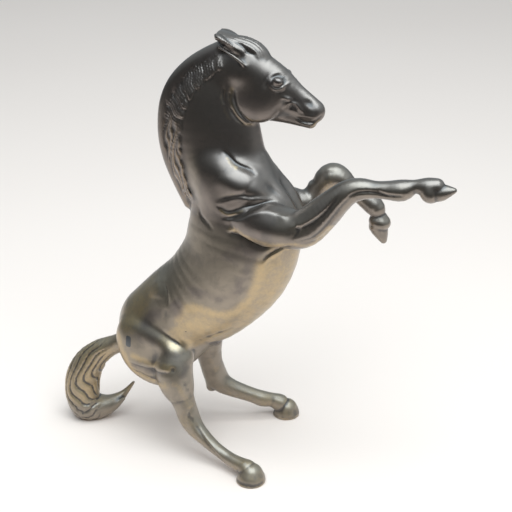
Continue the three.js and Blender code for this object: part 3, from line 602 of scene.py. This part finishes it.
def interpolate(grid, points):
    """The field and its slope at points given in grid steps."""
    base = np.clip(np.floor(points).astype(int), 0, np.array(grid.shape) - 2)
    f = points - base
    value = np.zeros(len(points))
    slope = np.zeros((len(points), 3))
    for corner in np.ndindex(2, 2, 2):
        data = grid[tuple((base + corner).T)]
        weights = [np.where(corner[n], f[:, n], 1 - f[:, n]) for n in range(3)]
        value += data * weights[0] * weights[1] * weights[2]
        for n in range(3):
            rest = [weights[m] for m in range(3) if m != n]
            slope[:, n] += data * (1 if corner[n] else -1) * rest[0] * rest[1]
    return value, slope


def settle(grid, points, rounds=3):
    """Moves points along the slope onto the surface, at most half a step each time."""
    for _ in range(rounds):
        value, slope = interpolate(grid, points)
        move = value / (np.sum(slope**2, axis=1) + 1e-6)
        points = points - np.clip(move[:, None] * slope, -0.5, 0.5)
    return points


def make_mesh(name, points, faces):
    mesh = bpy.data.meshes.new(name)
    mesh.vertices.add(len(points))
    mesh.vertices.foreach_set("co", points.astype(np.float32).ravel())
    mesh.loops.add(faces.size)
    mesh.loops.foreach_set("vertex_index", faces.astype(np.int32).ravel())
    mesh.polygons.add(len(faces))
    width = faces.shape[1]
    mesh.polygons.foreach_set("loop_start", np.arange(0, faces.size, width, dtype=np.int32))
    mesh.polygons.foreach_set("loop_total", np.full(len(faces), width, np.int32))
    mesh.update()
    mesh.validate()
    return mesh


def sculpt():
    """Makes the cast figure, set on the middle of its solid. The shift is from the stations to there."""
    body()
    shoulders()
    head()
    forelock()
    mane()
    forelegs()
    hindlegs()
    tail()
    grid, origin = sample_field()
    points, faces = find_surface(grid)
    points = origin + STEP * settle(grid, points)
    low, high = (np.array(corner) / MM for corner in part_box("horse"))
    shift = (low + high) / 2 - (points.min(0) + points.max(0)) / 2
    shift[2] = 0
    mesh = make_mesh("horse_cast", (points + shift) * MM, faces)
    horse = bpy.data.objects.new("horse_cast", mesh)
    bpy.context.scene.collection.objects.link(horse)
    thin = horse.modifiers.new("thin", "DECIMATE")
    thin.ratio = min(1.0, TRIANGLES / (2 * len(faces)))
    bpy.context.view_layer.objects.active = horse
    horse.select_set(True)
    bpy.ops.object.modifier_apply(modifier="thin")
    horse.select_set(False)
    mesh.polygons.foreach_set("use_smooth", np.ones(len(mesh.polygons), bool))
    return horse, shift


# Finish: where the metal is dark, olive, bright brass or worn, as soft patches in side view, some of them
# painted shade, painted reflection and painted highlight

def patch(points, x, z, long, short, tilt, amount, inner=2.0):
    """A soft ellipse on both flanks, tilted up from +X by a number of degrees."""
    t = math.radians(tilt)
    u = (points[:, 0] - x) * math.cos(t) + (points[:, 2] - z) * math.sin(t)
    v = (points[:, 2] - z) * math.cos(t) - (points[:, 0] - x) * math.sin(t)
    show = smooth(np.abs(points[:, 1]), inner - 1, inner + 1)
    return amount * show * np.exp(-((u / long)**2 + (v / short)**2)**1.5)


def streak(points, rows, width, amount, inner=2.0):
    """A soft line on both flanks."""
    gap, _, _ = follow(curve(rows, 4), points[:, 0], points[:, 2])
    show = smooth(np.abs(points[:, 1]), inner - 1, inner + 1)
    return amount * show * np.exp(-(gap / width)**2)


def beyond(points, rows, soft):
    """1 to the right of a line drawn in side view, going along it, and 0 to its left."""
    gap, _, left = follow(curve(rows, 4), points[:, 0], points[:, 2])
    return smooth(-np.sign(left) * gap, -soft, soft)


def strongest(*layers):
    return np.max(np.stack(layers), axis=0)


def olive_and_reflection_share(points):
    """The trunk and hind legs are olive bronze; the head, neck, shoulders and forelegs are dark brown. The
    olive, lighter towards the bottom, is partly the patina's own tone and partly painted reflection of the
    pale floor.
    """
    x, z = points[:, 0], points[:, 2]
    # lighter below a slanting height: partly the patina's own tone, partly painted reflection of the pale
    # floor
    low = smooth(z + 0.25 * x, 92, 74)
    rear_neck = patch(points, -19.5, 101, 13, 3.2, 100, 0.55, 0)
    tail_root = smooth(x, -46, -54)
    arms = 0.5 * smooth(x, 3, 14) * smooth(z, 118, 108)
    return strongest(low, rear_neck, tail_root, arms)


def brass_and_sheen_share(points):
    """Where the bright brass shows through. On the belly and along the lower rims of the jowl and the upper
    arm it is also painted reflection of the pale floor, and on the up-facing lips below the neck crease and
    the arm's lower fold it is also painted highlight.
    """
    x, z = points[:, 0], points[:, 2]
    belly = [
        (-33, 44), (-29.2, 47.2), (-25.6, 50.2), (-22.9, 53.5), (-20.6, 57.6), (-17, 59), (-12.5, 58.2),
        (-8, 57.6), (-4.5, 59), (-1.5, 62.3), (1.2, 66.4), (3.4, 72.5), (4.6, 78), (6, 84)]
    rump_rim = [
        (-47.4, 41.1), (-46.4, 37.2), (-44.5, 34.1), (-42, 29.4), (-37.7, 28), (-34, 27), (-28, 28.5)]
    elbow_rim = [
        (-5.4, 87.6), (-2.3, 87.4), (1.6, 85.8), (5, 85), (8.8, 85), (12.4, 86.2), (17, 87.3),
        (21.4, 86.8), (25.3, 90.5), (28.1, 93.9)]
    jowl_rim = [
        (-7.6, 131.9), (-8.3, 129.5), (-8.1, 127), (-7.1, 124.6), (-5.7, 122.4), (-4, 120.4),
        (-1.8, 119.6)]
    thigh_rim = [(-41.2, 36), (-38, 35.5), (-34.3, 34.6), (-28.7, 35.2), (-25.6, 35.2)]
    ear_rim = [(-12.4, 144), (-9.2, 142.8), (-6.8, 141.9), (-4.7, 140.6), (-3.2, 139.2)]
    trunk = smooth(z, 38, 42) * smooth(z, 85, 80) * smooth(x, -36, -27) * smooth(x, 16, 13)
    return strongest(
        # brass on the belly, with the next two: partly painted reflection of the pale floor
        0.62 * beyond(points, belly, 1.8) * trunk,
        streak(points, [(x - 1.5 * (x < -12), z - 2) for x, z in belly[3:-1]], 2.6, 0.85),
        patch(points, -17.5, 50.5, 8.5, 5.5, 20, 0.8),
        streak(points, rump_rim, 2.6, 0.75, 0),
        patch(points, -41, 52, 13, 4.5, 58, 0.75),
        streak(points, thigh_rim, 1.5, 0.85),
        streak(points, [(-24.7, 30), (-22.9, 29), (-21.2, 25), (-19.6, 21)], 1.4, 0.5, 8),
        # painted reflection of the pale floor along the upper arm's lower rim
        streak(points, elbow_rim, 1.5, 0.7, 8),
        streak(points, [(5, 76.3), (6.6, 77.6), (9, 79), (12, 80.5)], 1.5, 0.8, 2),
        # painted highlight on the up-facing lip below the arm's lower fold
        streak(points, [(-9.6, 93.2), (-6.9, 92), (-4.1, 92.9), (-2, 94)], 0.6, 0.6, 7),
        streak(points, [(-9.5, 97.6), (-7, 98.4), (-4.5, 99)], 0.6, 0.35, 7),
        # painted highlight on the up-facing lip below the neck crease
        streak(points, [(-8.4, 109.6), (-6.7, 108.1), (-5, 107)], 0.5, 0.5, 4),
        # painted reflection of the pale floor along the jowl's lower rim and the throat, with the next
        # three
        streak(points, jowl_rim, 1.1, 0.42, 2),
        streak(points, jowl_rim[3:], 0.5, 0.6, 2),
        streak(points, [(x - 2.4, z - 0.9) for x, z in jowl_rim[:5]], 0.7, 0.3, 2),
        streak(points, [(-3.4, 122.6), (-1, 121.6), (1.8, 122)], 0.8, 0.5, 3),
        streak(points, ear_rim, 0.5, 0.4, 3),
        streak(points, [(15.2, 120.6), (17.5, 120.6), (19.4, 122.6)], 0.9, 0.4, 0),
        patch(points, 19.6, 96, 4.5, 4, 45, 0.5, 8) * (points[:, 1] > 0),
        0.6 * smooth(x, -46, -53) * smooth(z, 4, 12),
        0.3 * smooth(z, 32, 12) * smooth(x, -46, -40),
        0.4 * smooth(z, 2.2, 0.6))


MANE_LINE = [
    (-15, 141.5), (-20, 136.5), (-25, 130.5), (-28, 123.5), (-29, 116), (-28, 109), (-26, 101.5), (-24, 94),
    (-23, 90)]


def mane_share(points):
    """How golden brown the hollows of the mane are, more so lower down."""
    return streak(points, MANE_LINE, 4.4, 1.0, 2.5) * smooth(points[:, 2], 132, 108)


def dark_patina_and_shade_share(points):
    """Where the patina is darkest, and where shade is painted: in the hollows by the hip, under the upper
    arm, on the side of the nose, in the eye socket, in the nostril and in the ear's hollow.
    """
    flank = [(-20, 62.5), (-14.5, 63.2), (-9.6, 62.5), (-5, 64), (-1.5, 69.5), (0, 75.5)]
    thigh = [(-38, 43.4), (-34, 42.8), (-31.3, 41.5), (-28, 39.7), (-24.8, 37.9), (-23, 36)]
    return strongest(
        # painted shade in the hollows by the hip, with the next patch
        patch(points, -24.9, 55.3, 4.4, 3, 75, 0.95),
        patch(points, -34.8, 50.2, 5.6, 2.8, 52, 0.85),
        streak(points, flank, 2.8, 0.6),
        streak(points, thigh, 2.6, 0.5),
        streak(points, [(-41, 32.4), (-37.9, 32), (-34.2, 31.4), (-29.2, 32.4)], 1.3, 0.7),
        patch(points, -22, 33.5, 4, 1.6, 85, 0.5),
        # painted shade under the upper arm
        patch(points, -1, 79.5, 9, 5, 15, 0.75),
        patch(points, -0.5, 127.5, 7.5, 6, 0, 0.6),
        # painted shade in the eye socket
        patch(points, 5, 135.6, 5, 2.2, -5, 0.8),
        # painted shade on the side of the nose
        streak(points, [(11, 129.6), (14.5, 128.6), (18, 127)], 1.6, 0.6, 1),
        patch(points, -9, 118, 7, 13, 0, 0.5),
        # painted shade in the nostril
        patch(points, 13, 126.5, 5, 2.5, 0, 0.5),
        # painted shade in the ear's hollow
        patch(points, -8.5, 142, 6, 2, -35, 0.8),
        0.75 * streak(points, MANE_LINE, 4.6, 1.0, 1.5),
        streak(points, [(-16.4, 41.4), (-15.2, 38.6), (-12.4, 41.3)], 1.2, 0.7, 0))


def smoothed(values, edges, degree, rounds):
    """Averages values over their neighbours, some number of times."""
    for _ in range(rounds):
        total = np.zeros_like(values)
        for column in range(values.shape[1]):
            total[:, column] = (np.bincount(edges[:, 0], values[edges[:, 1], column], len(values))
                                + np.bincount(edges[:, 1], values[edges[:, 0], column], len(values)))
        values = total / degree
    return values


def hollows(mesh, rounds, full):
    """How deep each point lies under its close surroundings, from -1 on a ridge to 1 in a crease. The
    surroundings grow with the rounds, and full is the depth in mm that counts as 1."""
    points = np.empty(len(mesh.vertices) * 3)
    normals = np.empty(len(mesh.vertices) * 3)
    edges = np.empty(len(mesh.edges) * 2, np.int32)
    mesh.vertices.foreach_get("co", points)
    mesh.vertex_normals.foreach_get("vector", normals)
    mesh.edges.foreach_get("vertices", edges)
    points, normals, edges = points.reshape(-1, 3), normals.reshape(-1, 3), edges.reshape(-1, 2)
    degree = np.bincount(edges.ravel(), minlength=len(points))[:, None]
    lift = np.sum((smoothed(points, edges, degree, rounds) - points) * normals, axis=1)[:, None]
    lift = smoothed(lift, edges, degree, 1) - smoothed(lift, edges, degree, 8 * rounds)
    return np.clip(lift[:, 0] / (full * MM), -1, 1)


def paint(mesh, shift):
    """Stores the shares and the relief on the mesh's points for the material to read. The relief is 0.5
    where the surface is even, and more in a hollow."""
    points = np.empty(len(mesh.vertices) * 3)
    mesh.vertices.foreach_get("co", points)
    points = points.reshape(-1, 3) / MM - shift
    fine = hollows(mesh, rounds=4, full=0.09)
    broad = hollows(mesh, rounds=16, full=0.35)
    layers = {
        # the patina layer also carries painted shade, painted reflection and painted highlight in its three
        # shares
        "patina": (olive_and_reflection_share(points), brass_and_sheen_share(points), dark_patina_and_shade_share(points)),
        "relief": (0.5 + 0.5 * fine, 0.5 + 0.5 * broad, mane_share(points))}
    for name, channels in layers.items():
        colours = np.ones((len(points), 4), np.float32)
        colours[:, :3] = np.stack(channels, 1)
        attribute = mesh.color_attributes.new(name, "FLOAT_COLOR", "POINT")
        attribute.data.foreach_set("color", colours.ravel())


class Graph:
    """Short calls for the nodes that a material or the world is made of."""

    def __init__(self, owner, shader="Principled BSDF", place="Object"):
        owner.use_nodes = True
        self.nodes, self.links = owner.node_tree.nodes, owner.node_tree.links
        self.shader = self.nodes[shader]
        self.place = self.nodes.new("ShaderNodeTexCoord").outputs[place]

    def put(self, socket, value):
        if isinstance(value, bpy.types.NodeSocket):
            self.links.new(value, socket)
        else:
            socket.default_value = value

    def noise(self, scale, detail=3.0, distortion=0.0):
        node = self.nodes.new("ShaderNodeTexNoise")
        self.links.new(self.place, node.inputs["Vector"])
        node.inputs["Scale"].default_value = scale
        node.inputs["Detail"].default_value = detail
        node.inputs["Distortion"].default_value = distortion
        return node.outputs["Fac"]

    def ramp(self, value, start, stop, low=0.0, high=1.0):
        node = self.nodes.new("ShaderNodeMapRange")
        node.interpolation_type = "SMOOTHSTEP"
        names = ("Value", "From Min", "From Max", "To Min", "To Max")
        for name, given in zip(names, (value, start, stop, low, high)):
            self.put(node.inputs[name], given)
        return node.outputs["Result"]

    def combine(self, operation, a, b):
        node = self.nodes.new("ShaderNodeMath")
        node.operation = operation
        self.put(node.inputs[0], a)
        self.put(node.inputs[1], b)
        return node.outputs[0]

    def plus(self, a, b):
        return self.combine("ADD", a, b)

    def mix(self, share, a, b):
        node = self.nodes.new("ShaderNodeMix")
        node.data_type = "RGBA"
        self.put(node.inputs["Factor"], share)
        self.put(node.inputs["A"], a)
        self.put(node.inputs["B"], b)
        return node.outputs["Result"]

    def layers(self, name):
        attribute = self.nodes.new("ShaderNodeAttribute")
        attribute.attribute_name = name
        split = self.nodes.new("ShaderNodeSeparateColor")
        self.links.new(attribute.outputs["Color"], split.inputs["Color"])
        return split.outputs

    def height(self):
        node = self.nodes.new("ShaderNodeSeparateXYZ")
        self.links.new(self.place, node.inputs["Vector"])
        return node.outputs["Z"]

    def spot(self, centre, half, edge):
        """1 within a rounded box about a point, in metres, fading to 0 just outside its rounded edge."""
        steps = (
            ("SUBTRACT", centre), ("ABSOLUTE", None), ("SUBTRACT", half), ("MAXIMUM", (0, 0, 0)),
            ("LENGTH", None))
        value = self.place
        fade_end = 1.4
        for operation, other in steps:
            node = self.nodes.new("ShaderNodeVectorMath")
            node.operation = operation
            self.links.new(value, node.inputs[0])
            if other is not None:
                node.inputs[1].default_value = other
            value = node.outputs["Value" if operation == "LENGTH" else "Vector"]
        return self.ramp(value, fade_end * edge, edge)

    def bump(self, height, strength, distance, normal=None):
        node = self.nodes.new("ShaderNodeBump")
        node.inputs["Strength"].default_value = strength
        node.inputs["Distance"].default_value = distance
        self.links.new(height, node.inputs["Height"])
        if normal:
            self.links.new(normal, node.inputs["Normal"])
        return node.outputs["Normal"]


def aged_brass(shift):
    """Dark waxed patina over brass: olive on the trunk, brass showing on rims and high places. The shares
    it reads also hold painted shade, painted reflection and painted highlight.
    """
    dark_brown = (0.165, 0.128, 0.104, 1)
    olive = (0.270, 0.218, 0.158, 1)
    brass = (0.50, 0.365, 0.185, 1)
    black_brown = (0.045, 0.034, 0.027, 1)
    purple_brown = (0.125, 0.094, 0.080, 1)
    gold_brown = (0.25, 0.165, 0.085, 1)
    blue_grey = (0.050, 0.057, 0.066, 1)
    hole_shade_black = (0.050, 0.026, 0.020, 1)
    material = bpy.data.materials.new("aged_brass")
    graph = Graph(material)
    patina, relief = graph.layers("patina"), graph.layers("relief")
    cloud = graph.noise(scale=45, detail=4)
    mottle = graph.noise(scale=260, detail=4, distortion=0.4)
    speckle = graph.noise(scale=1100, detail=3)
    # olive share: partly the patina's own tone, partly painted reflection of the pale floor
    olive_and_reflection_here = graph.ramp(graph.plus(patina["Red"], graph.ramp(cloud, 0.3, 0.7, -0.2, 0.2)), 0.1, 0.9)
    ground = graph.mix(olive_and_reflection_here, dark_brown, olive)
    ground = graph.mix(graph.ramp(mottle, 0.4, 0.75, 0, 0.35), ground, black_brown)
    broken = graph.plus(graph.ramp(cloud, 0.3, 0.7, -0.12, 0.12), graph.ramp(mottle, 0.3, 0.7, -0.12, 0.12))
    grainy = graph.plus(broken, graph.ramp(speckle, 0.3, 0.7, -0.08, 0.08))
    # brass share: brass showing through, partly painted reflection of the floor and painted highlight on
    # lips
    bare_and_sheen = graph.ramp(graph.plus(patina["Green"], grainy), 0.15, 1.05)
    ground = graph.mix(bare_and_sheen, ground, brass)
    # dark share: darker patina, partly painted shade in hollows and under the upper arm
    shade = graph.plus(patina["Blue"], graph.ramp(mottle, 0.3, 0.7, -0.15, 0.15))
    ground = graph.mix(graph.ramp(shade, 0.15, 1, 0, 0.85), ground, purple_brown)
    gilt = graph.combine("MULTIPLY", relief["Blue"], graph.ramp(relief["Red"], 0.55, 0.35))
    ground = graph.mix(graph.ramp(gilt, 0, 1, 0, 0.85), ground, gold_brown)
    ground = graph.mix(graph.ramp(relief["Red"], 0.55, 0.9, 0, 0.8), ground, black_brown)
    ground = graph.mix(graph.ramp(relief["Green"], 0.55, 0.9, 0, 0.5), ground, black_brown)
    spots = (
        ((-42.7, -14, 40.8), (0.3, 3, 1.2), 0.6, blue_grey),      # the plug on the haunch
        # the next spot is painted shade for the hole in the sheath
        ((-14.4, -4.5, 40.2), (0.4, 2, 0.4), 1.2, hole_shade_black),    # the hole in the sheath
        ((-22.3, -12.5, 47.1), (0, 2, 0), 0.2, black_brown))      # a speck on the belly
    for centre, half, edge, colour in spots:
        place = (np.array(centre) + shift) * MM
        ground = graph.mix(graph.spot(place, np.array(half) * MM, edge * MM), ground, colour)
    graph.put(graph.shader.inputs["Base Color"], ground)
    metal = graph.plus(graph.ramp(olive_and_reflection_here, 0, 1, 0.88, 0.8), graph.ramp(bare_and_sheen, 0, 1, 0, 0.15))
    graph.put(graph.shader.inputs["Metallic"], metal)
    thigh_end, hock = 0.042, 0.022
    duller = graph.ramp(graph.height(), thigh_end, hock, 0, 0.16)
    gloss = graph.plus(graph.ramp(mottle, 0.3, 0.7, 0.32, 0.40), duller)
    gloss = graph.plus(gloss, graph.ramp(relief["Red"], 0.5, 0.9, 0, 0.2))
    graph.put(graph.shader.inputs["Roughness"], gloss)
    graph.put(graph.shader.inputs["Specular IOR Level"], 0.5)
    graph.put(graph.shader.inputs["Coat Weight"], 0.8)
    graph.put(graph.shader.inputs["Coat IOR"], 1.95)
    graph.put(graph.shader.inputs["Coat Roughness"], 0.35)
    soft_dents = graph.bump(graph.noise(scale=120, detail=2), strength=0.1, distance=0.0006)
    grain = graph.noise(scale=2600, detail=4)
    surface = graph.bump(grain, strength=0.08, distance=0.0001, normal=soft_dents)
    graph.put(graph.shader.inputs["Normal"], surface)
    return material


def area_light(name, place, aim, size, power, colour):
    """A square light at a place, turned to shine at another."""
    lamp = bpy.data.lights.new(name, "AREA")
    lamp.energy = power
    lamp.size = size
    lamp.color = colour
    light = bpy.data.objects.new(name, lamp)
    light.location = place
    away = Vector(place) - Vector(aim)
    light.rotation_euler = away.to_track_quat("Z", "Y").to_euler()
    bpy.context.scene.collection.objects.link(light)


def studio():
    """A pale sheet that ends a little in front of the horse, so that its flanks mirror a dim near side of
    the room. A broad cool skylight hangs over the near side, and the room is bright above, behind and
    ahead of the horse."""
    sheet = bpy.data.materials.new("pale_sheet")
    graph = Graph(sheet)
    warm, paler = (0.96, 0.80, 0.71, 1), (0.98, 0.82, 0.73, 1)
    tint = graph.mix(graph.ramp(graph.noise(scale=3, detail=2), 0.3, 0.7), warm, paler)
    graph.put(graph.shader.inputs["Base Color"], tint)
    graph.put(graph.shader.inputs["Roughness"], 0.85)
    width, length, front = 1.1, 4.0, -0.17
    bpy.ops.mesh.primitive_plane_add(size=1, location=(0, front + length / 2, 0))
    floor = bpy.context.object
    floor.scale = (width, length, 1)
    bpy.ops.object.transform_apply(location=False, rotation=False)
    floor.name = "floor"
    floor.data.materials.append(sheet)
    world = bpy.data.worlds.new("studio")
    bpy.context.scene.world = world
    room = Graph(world, "Background", "Generated")

    def facing(direction, start, stop, low, high):
        """From low to high as the direction looked in turns towards the given one."""
        turned = room.nodes.new("ShaderNodeVectorMath")
        turned.operation = "DOT_PRODUCT"
        room.links.new(room.place, turned.inputs[0])
        turned.inputs[1].default_value = Vector(direction).normalized()
        return room.ramp(turned.outputs["Value"], start, stop, low, high)

    ceiling = facing((0, 0.35, 0.94), -0.15, 0.75, 0.02, 0.5)
    ahead = facing((0.8, 0, 0.6), 0.5, 0.95, 0, 0.4)
    daylight = (0.79, 0.92, 1.0)
    room.put(room.shader.inputs["Strength"], room.plus(ceiling, ahead))
    room.put(room.shader.inputs["Color"], daylight + (1,))
    above, breast = (0.08, -0.17, 0.63), (0, 0, 0.08)
    area_light("skylight", above, breast, size=0.7, power=5.9, colour=daylight)
    bpy.context.scene.view_settings.view_transform = "Standard"


def camera(shift):
    """The photograph's viewpoint: 18 degrees round to the front from square on, 25 degrees above. The lens
    follows from the length in pixels that it was solved with, over a picture 512 pixels wide."""
    azimuth, elevation = math.radians(18), math.radians(25)
    distance = 450.0
    focal_pixels, frame_pixels = 1378.0, 512.0
    sensor = 36.0
    target = np.array([0, -4.6, 75]) + shift
    level = math.cos(elevation)
    back = np.array([math.sin(azimuth) * level, -math.cos(azimuth) * level, math.sin(elevation)])
    data = bpy.data.cameras.new("camera")
    data.sensor_width = sensor
    data.lens = focal_pixels / frame_pixels * sensor
    data.clip_start = 0.01
    eye = bpy.data.objects.new("camera", data)
    eye.location = (target + back * distance) * MM
    eye.rotation_euler = (math.pi / 2 - elevation, 0, azimuth)
    bpy.context.scene.collection.objects.link(eye)
    bpy.context.scene.camera = eye


horse, shift = sculpt()
paint(horse.data, shift)
horse.data.materials.append(aged_brass(shift))
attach(horse, "root")
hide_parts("horse")
studio()
camera(shift)
